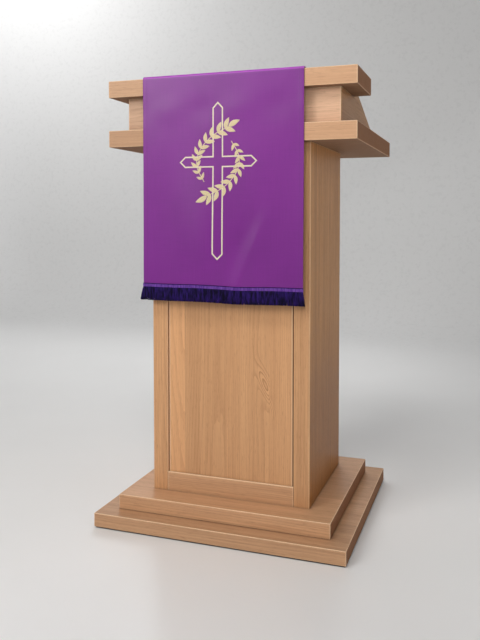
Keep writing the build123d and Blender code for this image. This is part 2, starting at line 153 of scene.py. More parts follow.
def oak(name, grain, across, seed, stave, stave_start, tone, arris=True, figure=None, contrast=1.0,
        saturation=1.0, pale_first=0.0, light_ramp=0.0, wear_and_highlight=0.75, groove_shadow=0.0, foot_shade=0.0):
    """Lacquered oak. grain and across are axis letters: the fibres' way and the staves' way."""
    t = Tree(name)
    xyz = dict(zip("XYZ", t.object_xyz()))
    along, side = xyz[grain], xyz[across]
    deep = xyz[({"X", "Y", "Z"} - {grain, across}).pop()]

    # Edge-glued staves: each has its own place in its own log, and its own tone
    shifted = t.math("DIVIDE", t.minus(side, stave_start), stave)
    index = t.math("FLOOR", shifted)
    luck = t.add("ShaderNodeTexWhiteNoise", {"Vector": t.vector(index, seed, seed * 0.37)}, out="Color")
    dice = t.add("ShaderNodeSeparateColor", {0: luck}).node.outputs
    from_middle = t.times(t.minus(t.math("FRACT", shifted), 0.5), stave)
    u = t.minus(from_middle, t.plus(0.030, t.times(dice[0], 0.090)))
    lean = t.times(t.minus(dice[1], 0.5), 0.03)
    v = t.plus(t.plus(deep, t.times(along, lean)), t.plus(0.020, t.times(dice[2], 0.030)))
    run = t.plus(along, t.plus(t.times(dice[2], 9.0), seed * 1.7))

    def log_noise(along_scale, across_scale):
        """Noise in the log's own place, stretched along the trunk."""
        place = t.vector(t.times(run, along_scale), t.times(u, across_scale), t.times(v, across_scale))
        return t.noise(place, 1.0, 2.0)

    def board_noise(along_scale, across_scale, detail, rough=0.5):
        """Noise in the board's own place, stretched along the fibres."""
        place = t.vector(t.times(run, along_scale), t.times(side, across_scale), t.times(deep, across_scale))
        return t.noise(place, 1.0, detail, rough)

    # Growth rings round the heart, pushed about along the trunk
    slow, quick = log_noise(1.6, 9.0), log_noise(7.0, 60.0)
    radius = t.math("SQRT", t.plus(t.times(u, u), t.times(v, v)))
    radius = t.plus(radius, t.plus(t.times(slow, 0.013), t.times(quick, 0.0016)))
    if figure is not None:
        centre_x, centre_z, half_x, half_z, slant, push = figure
        away_z = t.minus(xyz["Z"], centre_z)
        away_x = t.plus(t.minus(xyz["X"], centre_x), t.times(away_z, slant))
        rx, rz = t.math("DIVIDE", away_x, half_x), t.math("DIVIDE", away_z, half_z)
        swirl = t.math("EXPONENT", t.times(t.plus(t.times(rx, rx), t.times(rz, rz)), -1.0))
        radius = t.plus(radius, t.times(swirl, push))
    ring = t.math("FRACT", t.math("DIVIDE", radius, RING))
    early = t.minus(1.0, t.spread(ring, 0.0, 0.55))
    late = t.spread(ring, 0.80, 1.0)

    # Fibres, pores and a slow drift of colour
    fibre = board_noise(7.0, 420.0, 4.0, 0.62)
    streak = board_noise(1.3, 170.0, 3.0, 0.6)
    band = board_noise(0.9, 38.0, 2.0)
    dash = board_noise(42.0, 430.0, 1.0)
    pores = board_noise(60.0, 1500.0, 1.0)
    pore = t.times(t.spread(pores, 0.58, 0.72), t.plus(0.25, t.times(early, 0.75)))
    pore = t.math("MAXIMUM", pore, t.times(t.spread(dash, 0.60, 0.74), 0.55))

    shade = t.plus(t.plus(0.40, t.times(t.minus(early, 0.3), 0.20)), t.times(late, -0.08))
    for part, weight in ((fibre, 1.35), (streak, 0.85), (band, 0.9)):
        shade = t.plus(shade, t.times(t.minus(part, 0.5), weight * contrast))
    if figure is not None:
        shade = t.plus(shade, t.times(swirl, t.plus(t.times(early, 1.1), -0.25)))
    colour = t.mix(t.unit(shade), OAK_LIGHT, OAK_DARK)
    colour = t.mix(t.times(pore, 0.45), colour, OAK_PORE)
    stave_tone = t.plus(tone * 0.94, t.times(dice[1], 0.12 * tone))
    if pale_first:
        stave_tone = t.plus(stave_tone, t.times(t.math("COMPARE", index, 0.0, 0.5), pale_first))
    # Painted light: the board is painted paler towards +X along its fibres
    if light_ramp:
        stave_tone = t.plus(stave_tone, t.times(t.spread(along, LIGHT_RAMP_FROM, LIGHT_RAMP_TO), light_ramp))
    toned = t.add("ShaderNodeHueSaturation", {"Color": colour, "Value": stave_tone, "Saturation": saturation})

    # End grain is darker. Undersides get painted shade, and are rougher for being unpolished
    facing = t.add("ShaderNodeNewGeometry", {}, out="True Normal")
    turned = t.add("ShaderNodeVectorTransform", {0: facing}, vector_type="NORMAL",
                   convert_from="WORLD", convert_to="OBJECT")
    normal = t.add("ShaderNodeSeparateXYZ", {0: turned}).node
    sizes = {letter: t.math("ABSOLUTE", normal.outputs[i]) for i, letter in enumerate("XYZ")}
    end = t.spread(sizes[grain], 0.80, 0.95)
    underside = t.spread(normal.outputs[2], -0.80, -0.95)
    toned = t.mix(t.times(end, 0.72), toned, OAK_END)
    toned = t.mix(t.times(underside, 0.62), toned, OAK_SHADOW)

    # Eased arrises are painted paler, partly as real wearing and partly as a painted highlight, so less where
    # they face down
    rounded = t.add("ShaderNodeBevel", {"Radius": ARRIS_REACH}, samples=4)
    agree = t.add("ShaderNodeVectorMath", {0: rounded, 1: facing}, out="Value", operation="DOT_PRODUCT")
    worn_and_lit = t.spread(agree, 0.975, 0.880)
    if arris:
        largest = t.math("MAXIMUM", sizes["X"], t.math("MAXIMUM", sizes["Y"], sizes["Z"]))
        worn_and_lit = t.math("MAXIMUM", worn_and_lit, t.minus(1.0, t.spread(largest, 0.93, 0.995)))
    below = t.add("ShaderNodeSeparateXYZ", {0: rounded}).node.outputs[2]
    worn_and_lit = t.times(worn_and_lit, t.spread(below, -0.75, -0.10, 0.25, 1.0))
    # Beside the right stile's groove the pale edges give way to the painted shadow line
    if groove_shadow:
        from_groove = t.distance(xyz["X"], GROOVE_SHADOW_AT)
        worn_and_lit = t.times(worn_and_lit, t.spread(from_groove, 3 * MM, 5 * MM))
    toned = t.mix(t.times(worn_and_lit, wear_and_highlight), toned, OAK_ARRIS_WEAR_AND_HIGHLIGHT)
    if figure is not None:
        # Painted highlight: a pale line along the panel's face where it meets each groove
        off_middle = t.math("MAXIMUM", t.times(xyz["X"], -1.0), t.plus(xyz["X"], EDGE_HIGHLIGHT_SHIFT))
        painted_edge_highlight = t.times(t.spread(off_middle, QUIRK_EDGE - EDGE_HIGHLIGHT_WIDTH, QUIRK_EDGE - EDGE_HIGHLIGHT_WIDTH + 1.2 * MM),
                         t.spread(off_middle, QUIRK_EDGE + 0.4 * MM, QUIRK_EDGE))
        toned = t.mix(t.times(painted_edge_highlight, 0.55), toned, OAK_ARRIS_WEAR_AND_HIGHLIGHT)

    # Painted shade: a dark line where the groove beside the right stile is in shadow, a darker foot on the
    # side boards, and darkening in corners
    if groove_shadow:
        painted_groove_shadow = t.spread(from_groove, GROOVE_SHADOW_HALF - 0.4 * MM, GROOVE_SHADOW_HALF + 0.4 * MM, groove_shadow, 0.0)
        toned = t.mix(painted_groove_shadow, toned, OAK_SHADOW)
    if foot_shade:
        toned = t.mix(t.spread(xyz["Z"], FOOT_SHADE_FULL, FOOT_SHADE_FROM, foot_shade, 0.0), toned, OAK_FOOT_SHADE, "MULTIPLY")
    # Painted shade: darkening in corners and along contact lines from ambient occlusion, less on the panel
    corner = t.add("ShaderNodeAmbientOcclusion", {"Distance": 7 * MM}, out="AO", samples=4)
    corner_shade = 0.50 if figure is None else 0.15
    toned = t.mix(t.spread(corner, 0.35, 0.95, corner_shade, 0.0), toned, OAK_SHADOW)

    relief = t.plus(t.times(fibre, 0.5), t.times(pore, -0.9))
    rough = t.plus(0.36, t.plus(t.times(fibre, 0.10), t.times(pore, 0.2)))
    rough = t.plus(rough, t.times(t.math("MAXIMUM", end, underside), 0.5))
    return t.finish(
        Base_Color=toned,
        Roughness=rough,
        Normal=t.bump(relief, 0.12 * MM, 0.5),
        Specular_IOR_Level=0.28,
        Coat_Weight=0.04,
        Coat_Roughness=0.30,
    )


def beech():
    t = Tree("beech_dowel")
    x, y, z = t.object_xyz()
    fleck = t.noise(t.vector(t.times(x, 500.0), t.times(y, 500.0), t.times(z, 90.0)), 1.0, 3.0)
    colour = t.mix(t.spread(fleck, 0.35, 0.7), (0.62, 0.42, 0.26, 1.0), (0.48, 0.29, 0.16, 1.0))
    return t.finish(Base_Color=colour, Roughness=0.55, Normal=t.bump(fleck, 0.1 * MM, 0.4))


def metal(name, colour, roughness):
    t = Tree(name)
    x, y, z = t.object_xyz()
    brushed = t.noise(t.vector(t.times(x, 40.0), t.times(y, 900.0), t.times(z, 900.0)), 1.0, 3.0)
    rough = t.plus(roughness, t.times(t.minus(brushed, 0.5), 0.25))
    return t.finish(Base_Color=colour, Metallic=1.0, Roughness=rough, Normal=t.bump(brushed, 0.05 * MM, 0.4))


def nylon():
    t = Tree("glide_nylon")
    x, y, z = t.object_xyz()
    grit = t.noise(t.vector(x, y, z), 1800.0, 3.0)
    colour = t.mix(t.spread(grit, 0.4, 0.6), (0.020, 0.018, 0.016, 1.0), (0.045, 0.040, 0.036, 1.0))
    return t.finish(Base_Color=colour, Roughness=0.6, Normal=t.bump(grit, 0.1 * MM, 0.5))


# The fall's cloth: its yarns, painted shade at its foot, a painted highlight where it bends over the cap's
# edge, and the hem's stitches
CLOTH_DARK, CLOTH_LIGHT = (0.180, 0.011, 0.228, 1.0), (0.220, 0.016, 0.274, 1.0)
CLOTH_SHADED = (0.100, 0.004, 0.150, 1.0)
# Painted highlight where the cloth bends over the cap's edge
CLOTH_FOLD_HIGHLIGHT = (0.420, 0.055, 0.500, 1.0)
CLOTH_STITCH = (0.085, 0.008, 0.120, 1.0)
YARN_TURN = 2 * math.pi / (0.9 * MM)
STITCH_TURN = 2 * math.pi / (3.2 * MM)


def cloth_material():
    """Plain-woven purple cloth with slubbed yarns and a soft sheen."""
    t = Tree("fall_weave")
    x, y, z = t.object_xyz()
    down = t.minus(z, y)
    weave = t.times(t.math("SINE", t.times(x, YARN_TURN)), t.math("SINE", t.times(down, YARN_TURN)))
    slub_down = t.noise(t.vector(t.times(x, 900.0), t.times(down, 14.0), 0.0), 1.0, 2.0)
    slub_across = t.noise(t.vector(t.times(x, 14.0), t.times(down, 900.0), 3.0), 1.0, 2.0)
    slubs = t.plus(slub_down, slub_across)
    cloud = t.noise(t.vector(t.times(x, 6.0), t.times(down, 4.0), 7.0), 1.0, 3.0)
    share = t.plus(t.times(t.minus(slubs, 1.0), 0.5), cloud)
    colour = t.mix(t.spread(share, 0.2, 0.8), CLOTH_DARK, CLOTH_LIGHT)
    # Painted shade: the cloth darkens towards its foot
    colour = t.mix(t.spread(z, 0.62, 1.00, 0.20, 0.0), colour, CLOTH_SHADED)
    height = t.plus(t.times(weave, 0.5), t.times(slubs, 0.8))

    # Where the cloth bends over the cap's front edge it gets a painted highlight, and a line of stitches runs
    # down each hem
    fold_highlight = t.times(t.spread(z, cap_high[2] - 2.5 * MM, cap_high[2] + 0.5 * MM),
                   t.spread(y, CLOTH_FACE + 9 * MM, CLOTH_FACE + 3 * MM))
    colour = t.mix(t.times(fold_highlight, 0.85), colour, CLOTH_FOLD_HIGHLIGHT)
    from_edge = t.minus(FALL_WIDTH / 2, t.distance(x, FALL_MIDDLE))
    near = t.distance(from_edge, SIDE_HEM - 1 * MM)
    dashes = t.spread(t.math("SINE", t.times(down, STITCH_TURN)), -0.5, 0.0)
    stitch = t.times(t.spread(near, 0.55 * MM, 0.25 * MM), dashes)
    colour = t.mix(t.times(stitch, 0.6), colour, CLOTH_STITCH)
    height = t.plus(height, t.times(stitch, -3.0))
    return t.finish(
        Base_Color=colour,
        Roughness=0.36,
        Specular_IOR_Level=0.50,
        Sheen_Weight=0.06,
        Sheen_Roughness=0.50,
        Sheen_Tint=(0.90, 0.40, 1.0, 1.0),
        Normal=t.bump(height, 0.06 * MM, 0.5),
    )


def thread_material(name, dark, light, grain_scale, pitch):
    """Twisted or laid threads: colour that changes from thread to thread, and a fine twist."""
    t = Tree(name)
    x, y, z = t.object_xyz()
    twist = 2 * math.pi / pitch
    by_thread = t.noise(t.vector(t.times(x, grain_scale), t.times(y, 200.0), t.times(z, 40.0)), 1.0, 2.0)
    ply = t.math("SINE", t.plus(t.times(z, twist), t.times(x, twist)))
    share = t.plus(t.times(t.minus(by_thread, 0.5), 3.2), t.plus(0.35, t.times(ply, 0.18)))
    colour = t.mix(t.unit(share), dark, light)
    return t.finish(
        Base_Color=colour,
        Roughness=0.7,
        Specular_IOR_Level=0.15,
        Normal=t.bump(ply, 0.12 * MM, 0.6),
    )


STITCH_PITCH = 0.8 * MM


def stitch_material(name, dark, light):
    """Satin stitch: silky threads laid side by side along the mesh's V direction."""
    t = Tree(name)
    place = t.add("ShaderNodeTexCoord", {}, out="UV")
    parts = t.add("ShaderNodeSeparateXYZ", {0: place}).node
    u, v = parts.outputs[0], parts.outputs[1]
    threads = t.math("SINE", t.times(u, 2 * math.pi / STITCH_PITCH))
    lot = t.noise(t.vector(t.times(u, 900.0), t.times(v, 25.0), 0.0), 1.0, 2.0)
    share = t.plus(t.times(threads, 0.22), lot)
    colour = t.mix(t.spread(share, 0.15, 0.85), dark, light)
    return t.finish(
        Base_Color=colour,
        Roughness=0.42,
        Sheen_Weight=0.25,
        Sheen_Roughness=0.35,
        Normal=t.bump(t.plus(threads, t.times(lot, 0.6)), 0.16 * MM, 0.7),
    )


plinth_low, plinth_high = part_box("plinth_lower")
PLINTH_HALF_W = (plinth_high[0] - plinth_low[0]) / 2
PLINTH_HALF_D = (plinth_high[1] - plinth_low[1]) / 2
PLINTH_MIDDLE = (plinth_high[1] + plinth_low[1]) / 2
# The polished patch's middle, and how many times deeper than wide it is
POLISH_X, POLISH_Y, POLISH_NARROW = 0.1, -0.6, 1.6


def floor_material():
    """Polished in front of the pulpit, and matt plaster where the sweep turns up into the wall."""
    t = Tree("studio_floor")
    x, y, z = t.object_xyz()
    wall = t.spread(y, 1.6, 3.0)
    mottle = t.noise(t.vector(x, y, z), 1.5, 3.0)
    grit = t.noise(t.vector(x, y, z), 34.0, 4.0, 0.7)
    pale = t.mix(t.spread(mottle, 0.3, 0.7), grey(0.88), grey(0.90))
    plaster = t.mix(t.spread(grit, 0.35, 0.50), grey(0.785), grey(0.82))
    off_x, off_y = t.times(t.minus(x, POLISH_X), POLISH_NARROW), t.minus(y, POLISH_Y)
    away = t.math("SQRT", t.plus(t.times(off_x, off_x), t.times(off_y, off_y)))
    rough = t.spread(away, 0.10, 1.90, 0.29, 0.80)

    # Painted shadow: the floor is painted near black beneath the plinth, where no light reaches the gap
    across, deep = t.math("ABSOLUTE", x), t.distance(y, PLINTH_MIDDLE)
    under_plinth_shadow = t.times(t.spread(across, PLINTH_HALF_W, PLINTH_HALF_W - 5 * MM),
                    t.spread(deep, PLINTH_HALF_D, PLINTH_HALF_D - 5 * MM))
    shade = t.mix(t.times(under_plinth_shadow, 0.95), t.mix(wall, pale, plaster), grey(0.01))

    # The far floor glows a little, so that it stays pale in the side and rear views
    in_front = t.spread(y, -2.2, -4.5)
    beside = t.spread(t.math("ABSOLUTE", t.plus(x, 0.3)), 2.5, 4.8)
    return t.finish(
        Base_Color=shade,
        Roughness=rough,
        Specular_IOR_Level=0.35,
        Emission_Color=grey(1.0),
        Emission_Strength=t.times(t.math("MAXIMUM", in_front, beside), 0.30),
    )


# ---------------------------------------------------------------------------------------------
# Meshes
# ---------------------------------------------------------------------------------------------
class Soup:
    """Points, faces and UVs gathered from many small patches into one piece."""

    def __init__(self):
        self.points, self.faces, self.uvs = [], [], []

    def grid(self, rows, uv_rows=None, ring=False, caps=False):
        """A patch from equally long rows of points. ring joins each row's ends, and caps closes the first and
        last rows."""
        base, count = len(self.points), len(rows[0])
        for r, row in enumerate(rows):
            self.points += [tuple(p) for p in row]
            self.uvs += uv_rows[r] if uv_rows else [(0.0, 0.0)] * count
        last = count if ring else count - 1
        for r in range(len(rows) - 1):
            for c in range(last):
                a, b = base + r * count + c, base + r * count + (c + 1) % count
                self.faces.append((a, b, b + count, a + count))
        if caps:
            self.faces.append(tuple(base + c for c in range(count))[::-1])
            top = base + (len(rows) - 1) * count
            self.faces.append(tuple(top + c for c in range(count)))

    def tube(self, line, radii, sides=6):
        """A closed tube along a list of Vectors, with its radius at each."""
        rows = []
        for i, centre in enumerate(line):
            ahead = line[min(i + 1, len(line) - 1)] - line[max(i - 1, 0)]
            ahead.normalize()
            across = ahead.cross(Vector((0.0, 1.0, 0.0)))
            if across.length < 0.2:
                across = ahead.cross(Vector((1.0, 0.0, 0.0)))
            across.normalize()
            other = ahead.cross(across)
            turns = [2 * math.pi * k / sides for k in range(sides)]
            rows.append([centre + radii[i] * (math.cos(a) * across + math.sin(a) * other) for a in turns])
        self.grid(rows, ring=True, caps=True)

    def piece(self, name, material):
        """One smooth-shaded object of all the patches."""
        mesh = bpy.data.meshes.new(name)
        mesh.from_pydata(self.points, [], self.faces)
        layer = mesh.uv_layers.new(name="UVMap")
        for loop in mesh.loops:
            layer.data[loop.index].uv = self.uvs[loop.vertex_index]
        mesh.validate()
        mesh.shade_smooth()
        made = bpy.data.objects.new(name, mesh)
        bpy.context.scene.collection.objects.link(made)
        mesh.materials.append(material)
        return made


# ---------------------------------------------------------------------------------------------
# Wood, metal and glides: better materials on the CAD nodes
# ---------------------------------------------------------------------------------------------
OAK_BOARDS = {
    # node: grain, across, seed, stave width, stave start, tone
    "plinth_lower": ("X", "Y", 1.0, 0.144, -0.318, 0.92),
    "plinth_upper": ("X", "Y", 2.0, 0.160, -0.271, 0.98),
    "stile_front_left": ("Z", "X", 3.0, 0.300, -0.350, 0.97),
    "stile_front_right": ("Z", "X", 4.0, 0.300, 0.100, 0.97),
    "rail_front_bottom": ("X", "Z", 5.0, 0.300, 0.000, 0.97),
    "rail_front_top": ("X", "Z", 6.0, 0.300, 0.850, 0.97),
    "panel_front": ("Z", "X", 7.0, 0.115, -0.239, 1.00),
    "side_panel_left": ("Z", "Y", 8.0, 0.118, -0.204, 1.01),
    "side_panel_right": ("Z", "Y", 9.0, 0.118, -0.204, 1.02),
    "rail_back_bottom": ("X", "Z", 10.0, 0.300, 0.000, 0.96),
    "rail_back_top": ("X", "Z", 11.0, 0.300, 0.850, 0.96),
    "cleat_bottom_left": ("Y", "X", 12.0, 0.300, -0.400, 0.94),
    "cleat_bottom_right": ("Y", "X", 13.0, 0.300, 0.050, 0.94),
    "cleat_top_left": ("Y", "X", 14.0, 0.300, -0.400, 0.94),
    "cleat_top_right": ("Y", "X", 15.0, 0.300, 0.050, 0.94),
    "shelf": ("X", "Y", 16.0, 0.106, -0.180, 0.99),
    "desk_slab": ("X", "Y", 17.0, 0.136, -0.224, 0.82),
    "neck_front": ("X", "Z", 18.0, 0.300, 0.900, 0.98),
    "neck_side_left": ("Y", "Z", 19.0, 0.300, 0.900, 0.98),
    "neck_side_right": ("Y", "Z", 20.0, 0.300, 0.900, 0.98),
    "cap": ("X", "Y", 21.0, 0.190, -0.224, 0.82),
    "reading_board": ("X", "Y", 22.0, 0.101, -0.034, 1.00),
    "book_stop": ("X", "Y", 23.0, 0.300, 0.150, 0.98),
    "reading_cleat_left": ("Y", "X", 24.0, 0.300, -0.450, 0.94),
    "reading_cleat_right": ("Y", "X", 25.0, 0.300, 0.050, 0.94),
}
# Where the panel's swirl in the grain is: x, z, its half width and height, its slant, its push on the rings
PANEL_FIGURE = (0.096, 0.374, 0.014, 0.046, 0.36, 0.0115)
# What differs from an ordinary board. arris is off where a board's faces slope. Some keys paint shade (the
# groove line, the side boards' feet), a light ramp (cap, slab, neck front) or edge highlights
OAK_LOOKS = {
    "plinth_lower": {"saturation": 0.93},
    "plinth_upper": {"saturation": 0.93},
    "stile_front_left": {"wear_and_highlight": 0.45},
    "stile_front_right": {"wear_and_highlight": 0.45, "groove_shadow": 0.75},
    "rail_front_bottom": {"contrast": 0.8, "saturation": 0.94},
    "panel_front": {"contrast": 0.64, "pale_first": 0.12, "groove_shadow": 0.75, "figure": PANEL_FIGURE},
    "side_panel_left": {"contrast": 1.4, "saturation": 1.12, "wear_and_highlight": 0.45, "foot_shade": 0.9},
    "side_panel_right": {"contrast": 1.5, "saturation": 1.14, "wear_and_highlight": 0.45, "foot_shade": 1.0},
    "desk_slab": {"contrast": 0.62, "saturation": 0.90, "light_ramp": 0.19},
    "neck_front": {"contrast": 0.55, "saturation": 0.80, "light_ramp": 0.24},
    "neck_side_left": {"saturation": 1.08, "arris": False},
    "neck_side_right": {"saturation": 1.08, "arris": False},
    "cap": {"contrast": 0.62, "saturation": 0.90, "light_ramp": 0.15},
    "reading_board": {"arris": False},
    "book_stop": {"arris": False},
    "reading_cleat_left": {"arris": False},
    "reading_cleat_right": {"arris": False},
}


def paint(node, material):
    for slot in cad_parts[node].material_slots:
        slot.material = material


def paint_cad():
    for node, board in OAK_BOARDS.items():
        paint(node, oak(f"oak_{node}", *board, **OAK_LOOKS.get(node, {})))
    steel = metal("screw_steel", (0.58, 0.57, 0.55, 1.0), 0.32)
    zinc = metal("zinc_plate", (0.62, 0.62, 0.64, 1.0), 0.38)
    dowel = beech()
    for nodes, finish in (
        (("plinth_screws", "cleat_screws", "fall_weight_bar"), steel),
        (("shelf_supports",), zinc),
        (("neck_dowels", "cap_dowels", "rail_dowels"), dowel),
        (("plinth_glides",), nylon()),
    ):
        for node in nodes:
            paint(node, finish)


# ---------------------------------------------------------------------------------------------
# The cloth fall
# ---------------------------------------------------------------------------------------------
drop_low, drop_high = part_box("fall_drop")
hem_low, hem_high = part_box("fall_hem")
cap_low, cap_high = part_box("cap")
slab_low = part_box("desk_slab")[0]
fringe_low, fringe_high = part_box("fall_fringe")

CLOTH_T = 1.8 * MM
LEFT, RIGHT = drop_low[0], drop_high[0]
FALL_MIDDLE = (LEFT + RIGHT) / 2
FALL_WIDTH = RIGHT - LEFT
CLOTH_FOOT = drop_low[2]
CLOTH_TOP = cap_high[2] + 1.6 * MM  # the cloth's middle where it lies on the cap
CLOTH_FACE = cap_low[1] - 1.8 * MM  # the cloth's middle where it hangs
EDGE_R = 5 * MM  # its bend over the cap's front edge
CREST = 2.4 * MM  # how far it springs up before that bend
SIDE_HEM = 12 * MM
RIDGE_X, RIDGE_Z, RIDGE_SLANT = 0.072, 0.72, 0.42  # a soft fold that leans to the right as it rises
LYING_STEPS, HANGING_STEPS = 30, 104
COLUMNS, EDGE_STEPS = 98, 5


def smooth_step(t):
    t = min(max(t, 0.0), 1.0)
    return t * t * (3 - 2 * t)


def bell(distance, half_width):
    """1 where distance is 0, falling away smoothly on both sides."""
    return math.exp(-((distance / half_width) ** 2))


def hang(x, z):
    """How far forward of its flat plane the hanging cloth stands at (x, z)."""
    free = smooth_step((slab_low[2] + 0.03 - z) / 0.30)
    across = (x - FALL_MIDDLE) / FALL_WIDTH
    low = (drop_high[2] - z) / (drop_high[2] - drop_low[2])
    wave = 2.6 * MM * math.sin(9.5 * across + 1.2 + 1.8 * low)
    wave += 1.5 * MM * math.sin(17.0 * across - 0.6 - 2.5 * low)
    ridge_x = RIDGE_X + RIDGE_SLANT * (z - RIDGE_Z)
    ridge = 3.2 * MM * bell(x - ridge_x, 0.020) * smooth_step((0.86 - z) / 0.16)
    dent = -2.0 * MM * bell(x - ridge_x + 0.042, 0.024) * smooth_step((0.84 - z) / 0.16)
    neck = 1.0 * MM * bell(z - 1.065, 0.030) * math.sin(14.0 * across)
    curl = 3.0 * MM * abs(2 * across) ** 6 * free
    lean = 6.0 * MM * smooth_step((slab_low[2] - z) / (slab_low[2] - drop_low[2]))
    return free * (wave + ridge + dent) + neck - curl + lean


def hem_line(x):
    """How much lower than straight the cloth's bottom edge hangs at x."""
    across = (x - FALL_MIDDLE) / FALL_WIDTH
    return 1.2 * MM * math.sin(7.0 * across + 0.4) + 0.8 * MM * math.sin(15.0 * across)


def cloth_point(x, z, out=0.0):
    """A point on the hanging cloth, or out metres in front of it."""
    share = smooth_step((0.95 - z) / 0.35)
    return Vector((x, CLOTH_FACE - hang(x, z) - out, z - share * hem_line(x)))


def cloth_path():
    """(y, z) along the cloth's middle, from the stitched end under the bar to the foot."""
    rest_z = cap_high[2] + 1.1 * MM
    over_z = hem_high[2] - CLOTH_T / 2
    front, rear = hem_low[1], hem_high[1]
    depth = rear - front

    # Under the bar, up round its rear edge, back over it and down on to the cap
    path = [(front + t * depth, rest_z) for t in (0.06, 0.3, 0.6, 0.9)]
    radius = (over_z - rest_z) / 2
    for k in range(1, 8):
        a = math.pi * k / 8
        path.append((rear - radius + radius * math.sin(a), rest_z + radius - radius * math.cos(a)))
    path += [(rear - t * depth, over_z) for t in (0.15, 0.4, 0.65, 0.85)]
    for k in range(1, 7):
        t = k / 6
        path.append((front + 2 * MM - 12 * MM * t, over_z - (over_z - CLOTH_TOP) * smooth_step(t)))

    # Along the cap, over its front edge and down to the foot
    start, bend = path[-1][0], CLOTH_FACE + EDGE_R
    for k in range(1, LYING_STEPS):
        y = start + (bend - start) * k / LYING_STEPS
        path.append((y, CLOTH_TOP + CREST * smooth_step(1 - (y - bend) / 0.035)))
    crest = CLOTH_TOP + CREST
    for k in range(0, 9):
        a = math.pi / 2 * k / 8
        path.append((bend - EDGE_R * math.sin(a), crest - EDGE_R * (1 - math.cos(a))))
    top = crest - EDGE_R
    drop = top - CLOTH_FOOT
    path += [(CLOTH_FACE, top - drop * k / HANGING_STEPS) for k in range(1, HANGING_STEPS + 1)]
    return path


def make_cloth(material):
    """The lined cloth as one closed sheet with rounded edges and turned side hems."""
    path = cloth_path()
    length = sum(math.dist(a, b) for a, b in zip(path, path[1:]))
    half = CLOTH_T / 2
    inner_left, inner_right = LEFT + half, RIGHT - half
    xs = [inner_left + (inner_right - inner_left) * c / COLUMNS for c in range(COLUMNS + 1)]
    rows = []
    for i, (y, z) in enumerate(path):
        before, after = path[max(i - 1, 0)], path[min(i + 1, len(path) - 1)]
        way = Vector((after[0] - before[0], after[1] - before[1])).normalized()
        out = Vector((0.0, way.y, -way.x))
        hanging = smooth_step((CLOTH_TOP - z) / 0.02) if y < CLOTH_FACE + 1.5 * EDGE_R else 0.0
        front, back = [], []
        for x in xs:
            crown = 0.5 * MM * math.sin(31.0 * x + 2.0) * smooth_step((y - CLOTH_FACE) / 0.03)
            lift = max(crown, 0.0) if y < hem_low[1] - 0.02 else 0.0
            lying = Vector((x, y, z + lift))
            centre = lying.lerp(cloth_point(x, z) + Vector((0.0, y - CLOTH_FACE, 0.0)), hanging)
            hem = 0.25 * MM * (1 - smooth_step((min(x - LEFT, RIGHT - x) - SIDE_HEM) / (1.5 * MM)))
            front.append(centre + out * (half + hem * hanging))
            back.append(centre - out * half)
        right_edge = round_edge(front[-1], back[-1], 1)
        rows.append(front + right_edge + back[::-1] + round_edge(back[0], front[0], -1))
    soup = Soup()
    soup.grid(rows, ring=True, caps=True)
    return soup.piece("fall_cloth", material), length


def round_edge(start, end, side):
    """Points of a half turn from one face of the cloth to the other, towards +X or -X as side says."""
    middle, reach = (start + end) / 2, (start - end).length / 2
    turns = [math.pi * k / EDGE_STEPS for k in range(1, EDGE_STEPS)]
    return [middle + (start - middle) * math.cos(a) + Vector((side * reach * math.sin(a), 0.0, 0.0))
            for a in turns]


BRAID_LOW, BRAID_HIGH = CLOTH_FOOT - 3.5 * MM, CLOTH_FOOT + 6.0 * MM
BRAID_STEP = 1.1 * MM
CORD_TWIST = 0.55 * MM
CROSSING_PITCH = 9.5 * MM


def make_braid(material, dark_material):
    """A gimp heading: two border cords, the upper one dark, and two strands that cross between them."""
    gimp, dark = Soup(), Soup()
    low, high = BRAID_LOW, BRAID_HIGH
    middle, half = (low + high) / 2, (high - low) / 2
    out = CLOTH_T / 2
    length = FALL_WIDTH + 2 * MM
    xs = [LEFT - MM + BRAID_STEP * k for k in range(int(length / BRAID_STEP) + 1)]
    section = ((low, 0.1 * MM), (low, 0.7 * MM), (high, 0.7 * MM), (high, 0.1 * MM))
    gimp.grid([[cloth_point(x, z, out + depth) for z, depth in section] for x in xs], ring=True, caps=True)
    for z, group in ((low + 1.0 * MM, gimp), (high - 0.9 * MM, dark)):
        line = [cloth_point(x, z, out + 0.9 * MM) for x in xs]
        group.tube(line, [0.95 * MM * (1 + 0.14 * math.sin(x / CORD_TWIST)) for x in xs])
    for phase in (0.0, math.pi):
        line = []
        for x in xs:
            turn = x * 2 * math.pi / CROSSING_PITCH + phase
            z = middle + (half - 2.4 * MM) * math.sin(turn)
            line.append(cloth_point(x, z, out + 1.1 * MM + 0.35 * MM * math.cos(2 * turn + phase)))
        gimp.tube(line, [0.85 * MM] * len(line))
    return gimp.piece("fall_braid_gimp", material), dark.piece("fall_braid_cord", dark_material)


# The fringe's rows from the front: the threads' pitch, and how far in front of the cloth's face they hang
FRINGE_ROWS = ((1.45 * MM, 1.3 * MM), (1.25 * MM, 0.2 * MM), (1.35 * MM, -0.9 * MM))
THREAD_STEPS = 6


